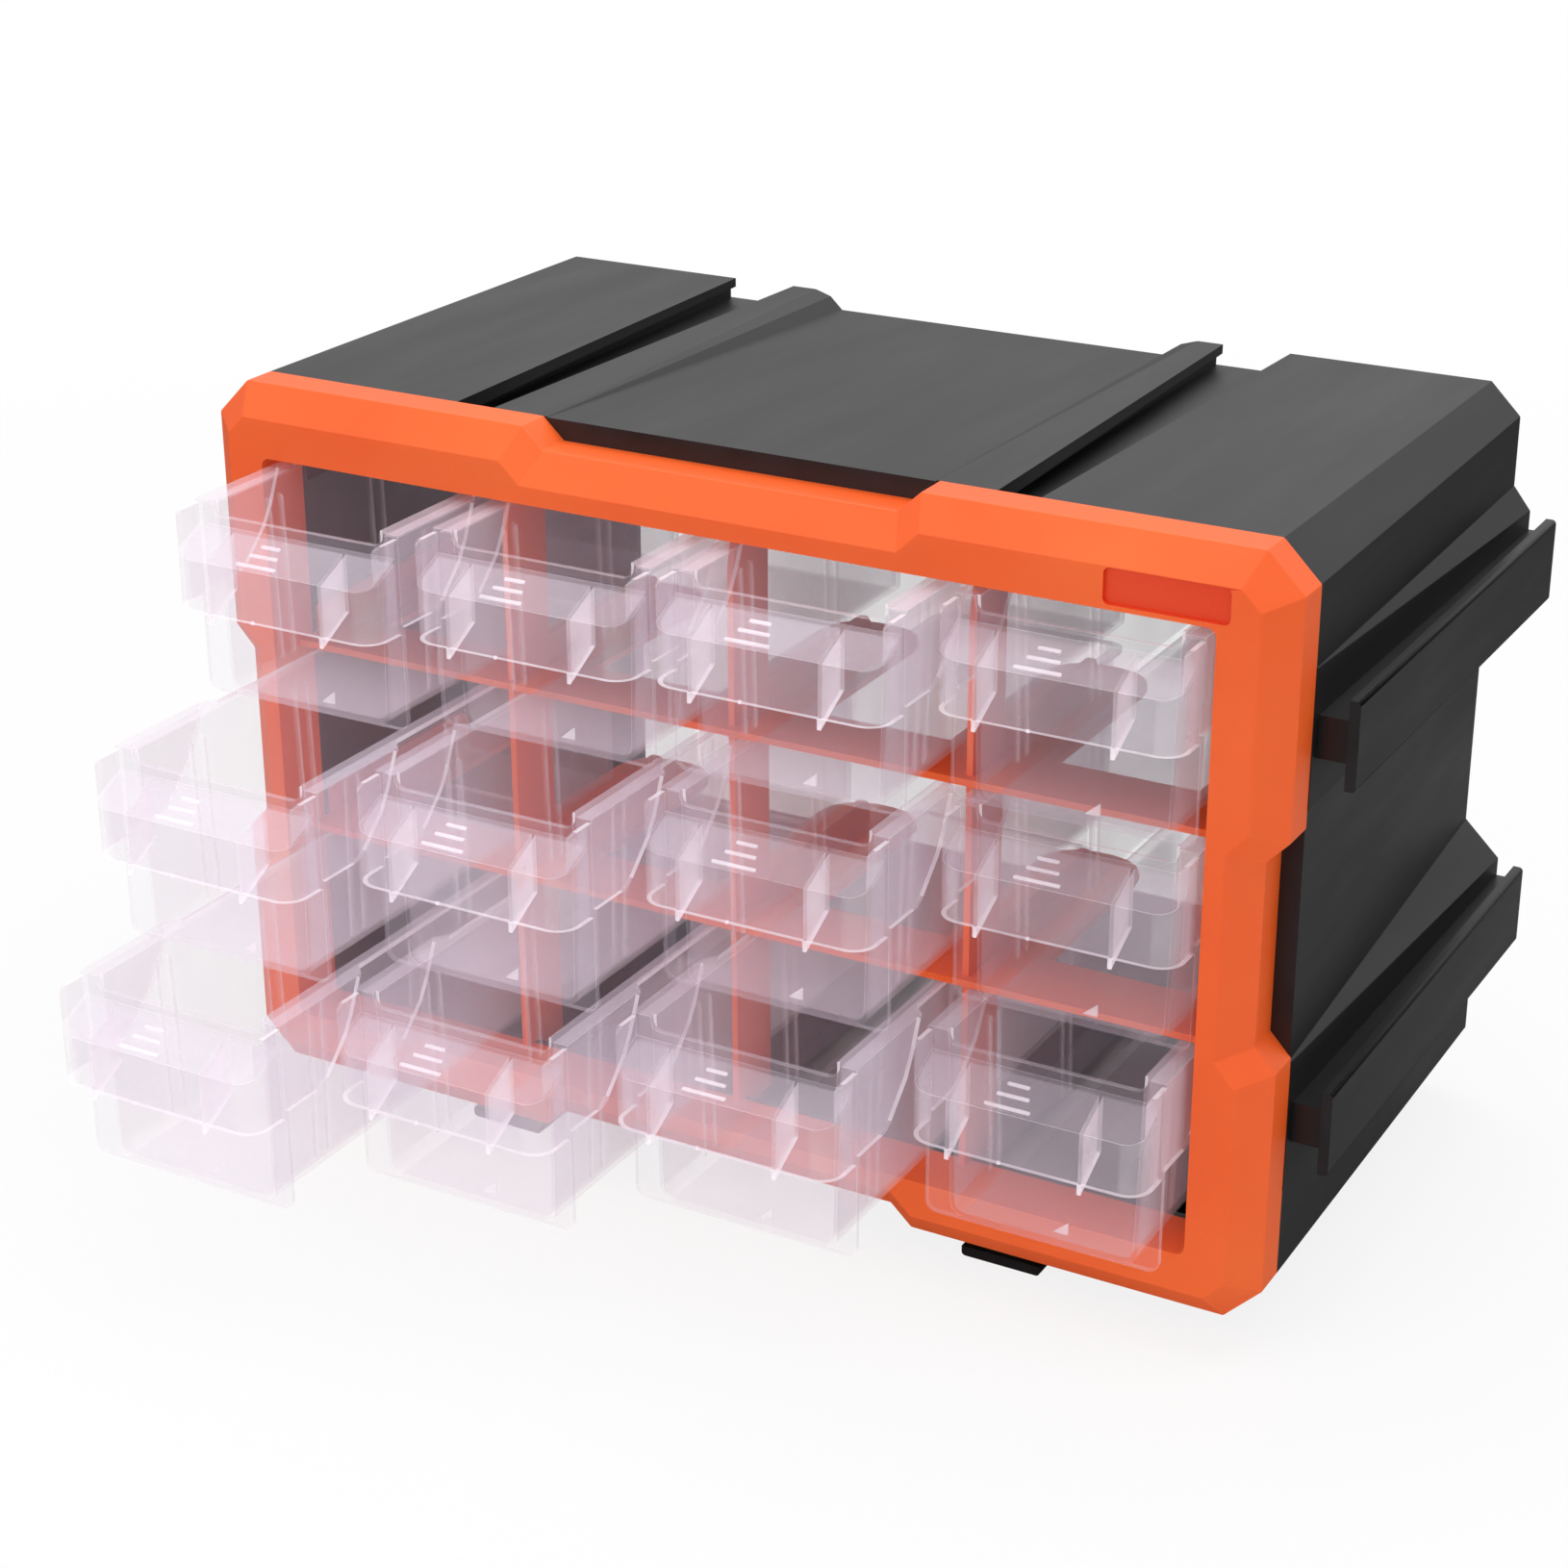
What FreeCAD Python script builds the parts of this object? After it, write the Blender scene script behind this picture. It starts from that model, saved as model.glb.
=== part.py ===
import FreeCAD, Part
import math
import os

# Compartment organizer box: a drafted black housing, an orange front frame with shelves and posts,
# and twelve clear bin drawers in three rows of four.
# Millimetres, +X to the right, +Y to the back, +Z up.
# The model is built about the middle of the housing's front outline, with y = 0 at the front edge
# of the frame's outer faces and z = 0 at the frame's bottom. At the end everything moves once, so that
# the origin is the middle of the bounding box's bottom, with the drawers pulled out as they are stored.

# Housing and frame outline
body_width = 380.0
body_height = 248.5
corner_chamfer = 12.0
housing_front_y = 12.3
housing_back_y = 198.6
housing_wall = 2.4
front_flange = 2.4
rear_flange = 2.4
rear_opening_side = 38.0
rear_opening_low = 36.5
rear_opening_high = 36.5
rear_opening_radius = 3.0

# Draft of the housing's panels at the back edge
outer_panel_draft = 1.4
middle_panel_draft = 7.8
front_relief_share = 0.05

# Straight steps in each rounded corner of the thin-walled drawers and shelves
corner_steps = 4

# Joining rails on the right side and the bottom, and their channels on the left side and the top
rail_half_spacing = 96.0
side_rail_low_z = 63.5
side_rail_high_z = 189.3
rail_reach = 13.7
rail_flange_thickness = 3.4
rail_flange_width = 28.0
rail_stem_front_width = 13.4
rail_stem_back_width = 18.8
rail_brace_front = 0.3
rail_brace_back = 2.6
rail_front_y = 12.9
rail_stem_front_y = 15.9
rail_flange_radius = 1.4
rail_base_front_width = 44.0
rail_base_back_width = 31.6
rail_base_rise = 4.7
rail_base_outer_ramp = 7.8
rail_base_middle_ramp = 12.2

channel_clearance = 0.3
channel_depth = 8.7
lip_thickness = 4.6
channel_wall = 2.2
front_tab_depth = 16.0
rear_tab_depth = 24.0
slot_front_width = 14.1
slot_back_width = 24.4
ridge_front_edge = 27.0
ridge_back_edge = 21.5
ridge_shoulder_width = 6.1
ridge_shoulder_drop = 1.9
ridge_foot_width = 4.8

# Front frame
frame_front_y = -8.6
bevel_inset = 9.6
frame_margin = 22.6
frame_wall = 2.4
opening_radius = 3.0
notch_depth = 7.0
top_notch_width = 140.0
side_notch_height = 74.8
notch_flank = 7.5
label_width = 39.0
label_height = 11.2
label_right = 18.6
label_top = 9.9
label_depth = 1.4
label_radius = 2.0

# Cells, shelves and posts
columns = 4
rows = 3
bar_thickness = 2.3
shelf_front_y = 5.0
shelf_back_y = 31.0
post_front_y = 8.0
post_back_y = 30.0
post_round_drop = 19.0
post_round_depth = 6.0
post_hook = 3.0
tongue_half_width = 18.0
tongue_back_y = 114.0
tongue_radius = 15.0
guide_height = 9.0
guide_back_y = 100.0
guide_radius = 5.0
lap_clearance = 0.1
floor_rib_offset = 16.0
floor_rib_thickness = 2.0
floor_rib_length = 150.0

# Drawers
drawer_gap = 2.55
drawer_floor_gap = 0.3
drawer_height = 64.8
drawer_length = 180.0
drawer_front_y = 6.0
plate_thickness = 1.8
plate_corner = 3.5
plate_dip_depth = 4.8
plate_dip_half_width = 32.5
plate_dip_radius = 3.0
tub_half_width = 33.0
tub_taper = 1.5
tub_wall = 1.4
tub_corner = 6.0
tub_foot_radius = 4.0
rim_thickness = 1.4
rim_reach = 2.6
rim_step_y = 42.0
rim_step_slant = 4.0
skirt_thickness = 1.3
skirt_front_drop = 30.3
skirt_flat_y = 20.0
skirt_slant_y = 32.5
skirt_slant_drop = 18.5
skirt_end_y = 36.5
skirt_radius = 8.0
hood_depth = 15.0
hood_wall = 1.5
hood_corner = 8.0
hood_back_drop = 7.8
hood_front_drop = 14.8
hood_lip_drop = 32.3
hood_cheek_drop = 1.2
hood_cheek_radius = 7.0
gusset_thickness = 1.3
gusset_left_x = -25.5
gusset_right_x = 18.5
gusset_back_drop = 27.8
gusset_front_drop = 36.0
slot_rib_width = 1.5
slot_rib_depth = 1.2
slot_rib_pitch = 6.4
slot_rib_drop = 6.0
slot_near_y = 29.0
slot_far_y = 83.0

# How far each drawer stands out of its cell: rows from the top, columns from the left
drawer_pulls = [[52.0, 40.3, 36.3, 15.9],
                [99.5, 76.3, 45.2, 12.0],
                [125.2, 93.2, 64.6, 28.4]]

# Sizes that follow from the ones above
half_width = body_width / 2
opening_width = body_width - 2 * frame_margin
opening_height = body_height - 2 * frame_margin
column_pitch = opening_width / columns
row_pitch = opening_height / rows
drawer_half_width = (column_pitch - 2 * drawer_gap) / 2
foremost_y = min(frame_front_y, drawer_front_y - hood_depth - max(max(pulls) for pulls in drawer_pulls))
part_shift = FreeCAD.Vector(-rail_reach / 2, -(housing_back_y + foremost_y) / 2, rail_reach)


def v(x, y, z):
    return FreeCAD.Vector(x, y, z)


def box(x0, x1, y0, y1, z0, z1):
    return Part.makeBox(x1 - x0, y1 - y0, z1 - z0, v(x0, y0, z0))


def wire_of(points):
    return Part.makePolygon(points + [points[0]])


def prism_y(points, y0, y1):
    face = Part.Face(wire_of([v(x, y0, z) for x, z in points]))
    return face.extrude(v(0, y1 - y0, 0))


def prism_x(points, x0, x1):
    face = Part.Face(wire_of([v(x0, y, z) for y, z in points]))
    return face.extrude(v(x1 - x0, 0, 0))


def loft_y(near, near_y, far, far_y):
    """Solid between two outlines whose matching edges are parallel, so that every face is flat."""
    first = [v(x, near_y, z) for x, z in near]
    last = [v(x, far_y, z) for x, z in far]
    faces = [Part.Face(wire_of(first)), Part.Face(wire_of(last))]
    for i in range(len(first)):
        faces.append(Part.Face(wire_of([first[i - 1], first[i], last[i], last[i - 1]])))
    return solid_of(faces)


def solid_of(faces):
    shell = Part.Shell(faces)
    solid = Part.Solid(shell)
    if solid.Volume < 0:
        solid.reverse()
    return solid


def rounded(points, radii, place):
    """Wire through the points with each corner rounded; place turns a 2D point into a vector."""
    edges = []
    count = len(points)
    corners = [corner(points, i, radii[i]) for i in range(count)]
    for i in range(count):
        start, middle, end, after = corners[i] + (corners[(i + 1) % count][0],)
        if radii[i] > 0:
            edges.append(Part.Arc(place(*start), place(*middle), place(*end)).toShape())
        if math.hypot(after[0] - end[0], after[1] - end[1]) > 1e-6:
            edges.append(Part.LineSegment(place(*end), place(*after)).toShape())
    return Part.Wire(edges)


def corner(points, i, radius):
    """Start, middle and end of the arc that rounds one corner of an outline."""
    px, py = points[i]
    ax, ay = points[i - 1]
    bx, by = points[(i + 1) % len(points)]
    la = math.hypot(ax - px, ay - py)
    lb = math.hypot(bx - px, by - py)
    ux, uy = (ax - px) / la, (ay - py) / la
    wx, wy = (bx - px) / lb, (by - py) / lb
    half_turn = math.acos(max(-1.0, min(1.0, ux * wx + uy * wy))) / 2
    reach = radius / math.tan(half_turn)
    away = radius / math.sin(half_turn) - radius
    mx, my = ux + wx, uy + wy
    lm = max(math.hypot(mx, my), 1e-9)
    start = (px + ux * reach, py + uy * reach)
    end = (px + wx * reach, py + wy * reach)
    return start, (px + mx / lm * away, py + my / lm * away), end


def stepped(points, radii, place):
    """Wire as in rounded, with each rounding in a few straight steps that touch the arc at their ends."""
    path = []
    for i in range(len(points)):
        if radii[i] == 0:
            path.append(points[i])
            continue
        start, middle, end = corner(points, i, radii[i])
        turn = math.pi - 2 * math.atan(radii[i] / math.dist(start, points[i]))
        across = (end[0] - start[0], end[1] - start[1])
        chord = math.hypot(*across)
        bulge = (middle[0] - (start[0] + end[0]) / 2, middle[1] - (start[1] + end[1]) / 2)
        depth = math.hypot(*bulge)
        for step in range(corner_steps + 1):
            angle = (step / corner_steps - 0.5) * turn
            along = 0.5 + radii[i] * math.sin(angle) / chord
            up = 1 - radii[i] * (1 - math.cos(angle)) / depth
            x = start[0] + along * across[0] + up * bulge[0]
            path.append((x, start[1] + along * across[1] + up * bulge[1]))
    return wire_of([place(*point) for point in path])


def rectangle(x0, x1, y0, y1):
    return [(x0, y0), (x1, y0), (x1, y1), (x0, y1)]


def inset(points, distance):
    """Moves every edge of a closed outline (anticlockwise) inwards by the same distance."""
    result = []
    count = len(points)
    for i in range(count):
        ax, ay = points[i - 1]
        px, py = points[i]
        bx, by = points[(i + 1) % count]
        la = math.hypot(px - ax, py - ay)
        lb = math.hypot(bx - px, by - py)
        n1 = (-(py - ay) / la, (px - ax) / la)
        n2 = (-(by - py) / lb, (bx - px) / lb)
        share = distance / (1 + n1[0] * n2[0] + n1[1] * n2[1])
        result.append((px + share * (n1[0] + n2[0]), py + share * (n1[1] + n2[1])))
    return result


# Housing outline: each side is a list of (along, outwards) points in anticlockwise order
def rail_side(low, high, half_length, back):
    """Side that carries the two joining rails, each on a raised base."""
    share = 1.0 if back else front_relief_share
    base = (rail_base_back_width if back else rail_base_front_width) / 2
    outer = -outer_panel_draft if back else 0.0
    rise = outer + share * (rail_base_rise + outer_panel_draft)
    middle = rise - share * (rail_base_rise + middle_panel_draft)
    near = base + share * rail_base_outer_ramp
    far = base + share * rail_base_middle_ramp
    return [(-half_length, outer), (low - near, outer), (low - base, rise), (low + base, rise),
            (low + far, middle), (high - far, middle), (high - base, rise),
            (high + base, rise), (high + near, outer), (half_length, outer)]


def channel_side(low, high, half_length, back, shoulders):
    """Side with the two channels: a raised ridge with sloping shoulders runs along the inner lip of each."""
    share = 1.0 if back else front_relief_share
    edge = ridge_back_edge if back else ridge_front_edge
    outer = -outer_panel_draft if back else 0.0
    shoulder = edge + share * ridge_shoulder_width
    foot = shoulder + share * ridge_foot_width
    slope = outer - share * ridge_shoulder_drop
    middle = outer - share * (middle_panel_draft - outer_panel_draft)
    rising = [(low + edge, outer), (low + shoulder, slope), (low + foot, middle)]
    falling = [(high - foot, middle), (high - shoulder, slope), (high - edge, outer)]
    if not shoulders:
        del rising[1]
        del falling[1]
    return [(-half_length, outer)] + rising + falling + [(half_length, outer)]


def housing_outline(back, shoulders):
    along = half_width - corner_chamfer
    up = body_height / 2 - corner_chamfer
    mid = body_height / 2
    low = side_rail_low_z - mid
    high = side_rail_high_z - mid
    bottom = [(s, -n) for s, n in rail_side(-rail_half_spacing, rail_half_spacing, along, back)]
    right = [(half_width + n, mid + s) for s, n in rail_side(low, high, up, back)]
    ridged = channel_side(-rail_half_spacing, rail_half_spacing, along, back, shoulders)
    top = [(-s, body_height + n) for s, n in ridged]
    left = [(-half_width - n, mid - s) for s, n in channel_side(-high, -low, up, back, shoulders)]
    return bottom + right + top + left


def cavity_outline(y):
    t = (y - housing_front_y) / (housing_back_y - housing_front_y)
    pairs = zip(housing_outline(False, False), housing_outline(True, False))
    return inset([(a[0] + t * (b[0] - a[0]), a[1] + t * (b[1] - a[1])) for a, b in pairs], housing_wall)


def column_line(index):
    return -opening_width / 2 + index * column_pitch


def opening_cutter(y0, y1, grow):
    """Rounded prism through the frame's opening."""
    half = opening_width / 2 + grow
    low = frame_margin - grow
    high = body_height - frame_margin + grow
    radius = opening_radius + max(grow, 0.0)
    wire = rounded(rectangle(-half, half, low, high), [radius] * 4, lambda x, z: v(x, y0, z))
    return Part.Face(wire).extrude(v(0, y1 - y0, 0))


# Rail and channel sections: points are (along, outwards), turned onto each side by place
def rail_solid(place):
    """Flange on a stem that widens to the back, braced to it at 45 degrees."""
    half = rail_flange_width / 2
    inner = rail_reach - rail_flange_thickness
    section = [(-half, rail_reach), (half, rail_reach), (half, inner), (-half, inner)]
    radii = [rail_flange_radius, rail_flange_radius, 0, 0]
    wire = rounded(section, radii, lambda s, n: place(s, rail_front_y, n))
    flange = Part.Face(wire).extrude(v(0, housing_back_y - rail_front_y, 0))

    def stem_points(width, brace):
        neck = width / 2
        top = inner + rail_flange_thickness / 2
        wide = neck + brace
        half_stem = [(neck, -housing_wall / 2), (neck, inner - brace), (wide, inner), (wide, top)]
        return half_stem + [(-s, n) for s, n in reversed(half_stem)]

    near = [place(s, rail_stem_front_y, n) for s, n in stem_points(rail_stem_front_width, rail_brace_front)]
    far = [place(s, housing_back_y, n) for s, n in stem_points(rail_stem_back_width, rail_brace_back)]
    faces = [Part.Face(wire_of(near)), Part.Face(wire_of(far))]
    for i in range(len(near)):
        faces.append(Part.Face(wire_of([near[i - 1], near[i], far[i], far[i - 1]])))
    stem = solid_of(faces)
    return flange.fuse(stem)


def channel_cutter(place, sign):
    """Space that the neighbour's rail slides into, open to the back, with a slot that widens backwards."""
    start = housing_front_y - 1
    half = rail_flange_width / 2 + channel_clearance
    lip = lip_thickness
    section = [(-half, -channel_depth), (half, -channel_depth), (half, -lip), (-half, -lip)]
    wire = wire_of([place(s, start, n) for s, n in section])
    channel = Part.Face(wire).extrude(v(0, housing_back_y + 1 - start, 0))
    near = slot_front_width / 2
    far = slot_back_width / 2
    plan = [(-near, start), (near, start), (far, housing_back_y + 1), (-far, housing_back_y + 1)]
    foot = wire_of([place(s, y, -lip - 0.5) for s, y in plan])
    slot = Part.Face(foot).extrude(sign * (lip + 2.5))
    return channel.fuse(slot)


def channel_bar(place, start, end, deep, past):
    """Bar under one channel's mouth, as wide as the channel with its walls."""
    half = rail_flange_width / 2 + channel_clearance + channel_wall
    section = [(-half, -deep), (half, -deep), (half, past), (-half, past)]
    wire = wire_of([place(s, start, n) for s, n in section])
    return Part.Face(wire).extrude(v(0, end - start, 0))


def channel_zone(place):
    """What belongs to one channel: its groove, and a tab of the front and of the rear flange."""
    past = 1.0
    deep = channel_depth + channel_wall
    groove = channel_bar(place, housing_front_y - past, housing_back_y + past, deep, past)
    front = channel_bar(place, housing_front_y - past, housing_front_y + front_flange, front_tab_depth, past)
    rear = channel_bar(place, housing_back_y - rear_flange, housing_back_y + past, rear_tab_depth, past)
    return groove.fuse([front, rear])


def bottom_place(x):
    return lambda s, y, n: v(x + s, y, -n)


def right_place(z):
    return lambda s, y, n: v(half_width + n, y, z + s)


def top_place(x):
    return lambda s, y, n: v(x + s, y, body_height + n)


def left_place(z):
    return lambda s, y, n: v(-half_width - n, y, z + s)


rail_places = [bottom_place(-rail_half_spacing), bottom_place(rail_half_spacing),
               right_place(side_rail_low_z), right_place(side_rail_high_z)]
channel_names = ["channel_top_left", "channel_top_right", "channel_left_lower", "channel_left_upper"]
channel_places = [(top_place(-rail_half_spacing), v(0, 0, 1)), (top_place(rail_half_spacing), v(0, 0, 1)),
                  (left_place(side_rail_low_z), v(-1, 0, 0)), (left_place(side_rail_high_z), v(-1, 0, 0))]


def floor_ribs(start):
    """Upright ribs on the housing's floor that carry the lowest row of drawers, two under each."""
    ribs = []
    for index in range(columns):
        middle = column_line(index) + column_pitch / 2
        for sign in (-1, 1):
            x = middle + sign * (column_pitch / 2 - floor_rib_offset)
            half = floor_rib_thickness / 2
            ribs.append(box(x - half, x + half, start, start + floor_rib_length, 0, frame_margin))
    return ribs


def full_housing():
    outer = loft_y(housing_outline(False, True), housing_front_y, housing_outline(True, True), housing_back_y)
    cavity_near = housing_front_y + front_flange
    cavity_far = housing_back_y - rear_flange
    cavity = loft_y(cavity_outline(cavity_near), cavity_near, cavity_outline(cavity_far), cavity_far)
    housing = outer.cut(cavity)
    for place, sign in channel_places:
        block = channel_bar(place, housing_front_y, housing_back_y, channel_depth + channel_wall, 0.0)
        housing = housing.fuse(block.common(outer))
    for place, sign in channel_places:
        housing = housing.cut(channel_cutter(place, sign))
    for place in rail_places:
        housing = housing.fuse(rail_solid(place).cut(cavity))
    housing = housing.fuse([rib.common(outer) for rib in floor_ribs(cavity_near)])
    housing = housing.cut(opening_cutter(housing_front_y - 1, cavity_near + 1, 0.0))
    wide = half_width - rear_opening_side
    rear = rounded(rectangle(-wide, wide, rear_opening_low, body_height - rear_opening_high),
                   [rear_opening_radius] * 4, lambda x, z: v(x, cavity_far - 1, z))
    return housing.cut(Part.Face(rear).extrude(v(0, rear_flange + 2, 0)))


def make_housing_parts():
    """The shell, and the four channels that are let into it."""
    whole = full_housing()
    shell = whole
    channels = []
    for place, sign in channel_places:
        zone = channel_zone(place)
        channels.append(whole.common(zone).removeSplitter())
        shell = shell.cut(zone)
    return shell.removeSplitter(), channels


# Front frame
def frame_outline():
    """Outer outline of the frame with a notch in the middle of each side, anticlockwise."""
    top_half = top_notch_width / 2
    side_half = side_notch_height / 2
    mid = body_height / 2
    along = half_width - corner_chamfer
    up = mid - corner_chamfer
    floor_top = top_half - notch_flank
    floor_side = side_half - notch_flank
    bottom = [(-along, 0), (-top_half, 0), (-floor_top, notch_depth), (floor_top, notch_depth),
              (top_half, 0), (along, 0)]
    deep = half_width - notch_depth
    right = [(half_width, mid - up), (half_width, mid - side_half), (deep, mid - floor_side),
             (deep, mid + floor_side), (half_width, mid + side_half), (half_width, mid + up)]
    top = [(-x, body_height - z) for x, z in bottom]
    left = [(-x, 2 * mid - z) for x, z in right]
    return bottom + right + top + left


def make_frame():
    outline = frame_outline()
    sleeve = prism_y(outline, 0, housing_front_y)
    bevel = loft_y(inset(outline, bevel_inset), frame_front_y, outline, 0)
    frame = sleeve.fuse(bevel)
    hollow_front = frame_front_y + frame_wall
    hollow_side = inset(outline, frame_wall)
    hollow = prism_y(hollow_side, frame_wall / 2, housing_front_y)
    hollow = hollow.fuse(loft_y(inset(outline, bevel_inset + frame_wall / 2), hollow_front,
                                hollow_side, frame_wall / 2))
    hollow = hollow.cut(opening_cutter(frame_front_y - 1, housing_front_y + 1, frame_wall))
    frame = frame.cut(hollow)
    frame = frame.cut(opening_cutter(frame_front_y - 1, housing_front_y + 1, 0.0))
    right = half_width - label_right
    top = body_height - label_top
    label = rounded(rectangle(right - label_width, right, top - label_height, top), [label_radius] * 4,
                    lambda x, z: v(x, frame_front_y - 1, z))
    frame = frame.cut(Part.Face(label).extrude(v(0, 1 + label_depth, 0)))
    return frame.removeSplitter()


# Shelves: a cross bar with a rounded tongue behind it at each column line
def tongue(x0, x1, start, z0, z1, round_left, round_right):
    corners = [(x0, start), (x1, start), (x1, tongue_back_y), (x0, tongue_back_y)]
    radii = [0, 0, tongue_radius if round_right else 0, tongue_radius if round_left else 0]
    wire = stepped(corners, radii, lambda x, y: v(x, y, z0))
    return Part.Face(wire).extrude(v(0, 0, z1 - z0))


def guide(x0, x1, start, floor):
    corners = [(start, floor - bar_thickness / 2), (guide_back_y, floor - bar_thickness / 2),
               (guide_back_y, floor + guide_height), (start, floor + guide_height)]
    wire = stepped(corners, [0, 0, guide_radius, 0], lambda y, z: v(x0, y, z))
    return Part.Face(wire).extrude(v(x1 - x0, 0, 0))


def make_shelf(floor):
    """Shelf under a row of drawers, with its guides; the top face is the row's floor."""
    low = floor - bar_thickness
    edge = opening_width / 2
    behind = housing_front_y + front_flange
    half_bar = bar_thickness / 2
    solid = box(-edge, edge, shelf_front_y, shelf_back_y, low, floor)
    for index in range(1, columns):
        x = column_line(index)
        left, right = x - tongue_half_width, x + tongue_half_width
        solid = solid.fuse(tongue(left, right, shelf_front_y, low, floor, True, True))
        solid = solid.fuse(guide(x - half_bar, x + half_bar, post_back_y + lap_clearance, floor))
    for sign in (-1, 1):
        near = sign * (edge - tongue_half_width)
        far = sign * edge
        out = sign * (edge + bar_thickness)
        left, right = min(near, far), max(near, far)
        solid = solid.fuse(tongue(left, right, shelf_front_y, low, floor, sign > 0, sign < 0))
        solid = solid.fuse(guide(min(far, out), max(far, out), behind, floor))
        left, right = min(near, out), max(near, out)
        solid = solid.fuse(box(left, right, behind, guide_back_y, low, floor))
    for index in range(1, columns):
        x = column_line(index)
        reach = half_bar + lap_clearance
        solid = solid.cut(box(x - reach, x + reach, post_front_y, post_back_y + lap_clearance / 2,
                              low - 1, floor + guide_height + 1))
    return solid.removeSplitter()


def make_post(index):
    """Upright between two columns; its ends hook behind the housing's front flange."""
    x = column_line(index)
    half_bar = bar_thickness / 2
    behind = housing_front_y + front_flange
    low = frame_margin
    high = body_height - frame_margin
    corner_a = v(x - half_bar, post_front_y, high - post_round_drop)
    corner_b = v(x - half_bar, post_front_y + post_round_depth * 0.3, high - post_round_drop * 0.45)
    corner_c = v(x - half_bar, post_front_y + post_round_depth, high)
    path = [v(x - half_bar, behind, high), v(x - half_bar, behind, high + post_hook),
            v(x - half_bar, post_back_y, high + post_hook), v(x - half_bar, post_back_y, low - post_hook),
            v(x - half_bar, behind, low - post_hook), v(x - half_bar, behind, low),
            v(x - half_bar, post_front_y, low), corner_a]
    edges = [Part.Arc(corner_a, corner_b, corner_c).toShape()]
    edges.append(Part.LineSegment(corner_c, path[0]).toShape())
    for a, b in zip(path[:-1], path[1:]):
        edges.append(Part.LineSegment(a, b).toShape())
    return Part.Face(Part.Wire(edges)).extrude(v(bar_thickness, 0, 0))


# Drawer, about its own middle: y = 0 at the plate's front, z = 0 at its lowest edge
def tub_body(wall, near, top):
    """Trough with slanted sides and rounded lower edges, cut to a plan with rounded rear corners."""
    low_half = tub_half_width - tub_taper - wall
    high_half = tub_half_width - wall
    section = [(-low_half, wall), (low_half, wall), (high_half, top), (-high_half, top)]
    radius = tub_foot_radius - wall / 2
    wire = stepped(section, [radius, radius, 0, 0], lambda x, z: v(x, near, z))
    back = drawer_length - wall
    trough = Part.Face(wire).extrude(v(0, back - near, 0))
    bend = tub_corner - wall / 2
    plan = stepped(rectangle(-high_half, high_half, near, back), [0, 0, bend, bend],
                   lambda x, y: v(x, y, wall - 1))
    return trough.common(Part.Face(plan).extrude(v(0, 0, top - wall + 2)))


def drawer_plate():
    half = drawer_half_width
    dip = drawer_height - plate_dip_depth
    top = drawer_height
    inner = plate_dip_half_width
    points = [(-half, 0), (half, 0), (half, top), (inner, top), (inner, dip), (-inner, dip), (-inner, top),
              (-half, top)]
    radii = [plate_corner, plate_corner, 0, 0, plate_dip_radius, plate_dip_radius, 0, 0]
    wire = stepped(points, radii, lambda x, z: v(x, 0, z))
    return Part.Face(wire).extrude(v(0, plate_thickness, 0))


def drawer_rim():
    """Flat rim: as wide as the plate near the front, then a narrow bead round the tub."""
    wide = drawer_half_width
    slim = tub_half_width + rim_reach
    end = rim_step_y + rim_step_slant
    back = drawer_length + rim_reach * 0.5
    points = [(-wide, 0), (wide, 0), (wide, rim_step_y), (slim, end), (slim, back), (-slim, back),
              (-slim, end), (-wide, rim_step_y)]
    radii = [0, 0, 0, 0, tub_corner, tub_corner, 0, 0]
    wire = stepped(points, radii, lambda x, y: v(x, y, drawer_height - rim_thickness))
    return Part.Face(wire).extrude(v(0, 0, rim_thickness))


def drawer_skirt(sign):
    """Thin side panel that hangs from the wide part of the rim."""
    top = drawer_height
    points = [(0, top), (0, top - skirt_front_drop), (skirt_flat_y, top - skirt_front_drop),
              (skirt_slant_y, top - skirt_slant_drop), (skirt_end_y, top - skirt_slant_drop * 0.65),
              (rim_step_y, top)]
    radii = [0, 0, skirt_radius, 0, 0, 0]
    outer = sign * drawer_half_width
    inner = sign * (drawer_half_width - skirt_thickness)
    wire = stepped(points, radii, lambda y, z: v(min(outer, inner), y, z))
    return Part.Face(wire).extrude(v(skirt_thickness, 0, 0))


def hood_prism(half, front, radius, low, high):
    """Plan of the pull, rounded at its front corners, between two heights."""
    plan = rounded(rectangle(-half, half, front, plate_thickness / 2), [radius, radius, 0, 0],
                   lambda x, y: v(x, y, low))
    return Part.Face(plan).extrude(v(0, 0, high - low))


def above_slant(half, offset):
    """Space over the pull's slanted top, which falls towards the front."""
    rise = hood_front_drop - hood_back_drop
    back = drawer_height - hood_back_drop - offset
    front = back - 2 * rise
    high = drawer_height + hood_depth
    points = [(-2 * hood_depth, front), (0, back), (hood_depth, back + rise), (hood_depth, high),
              (-2 * hood_depth, high)]
    return prism_x(points, -half, half)


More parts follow.
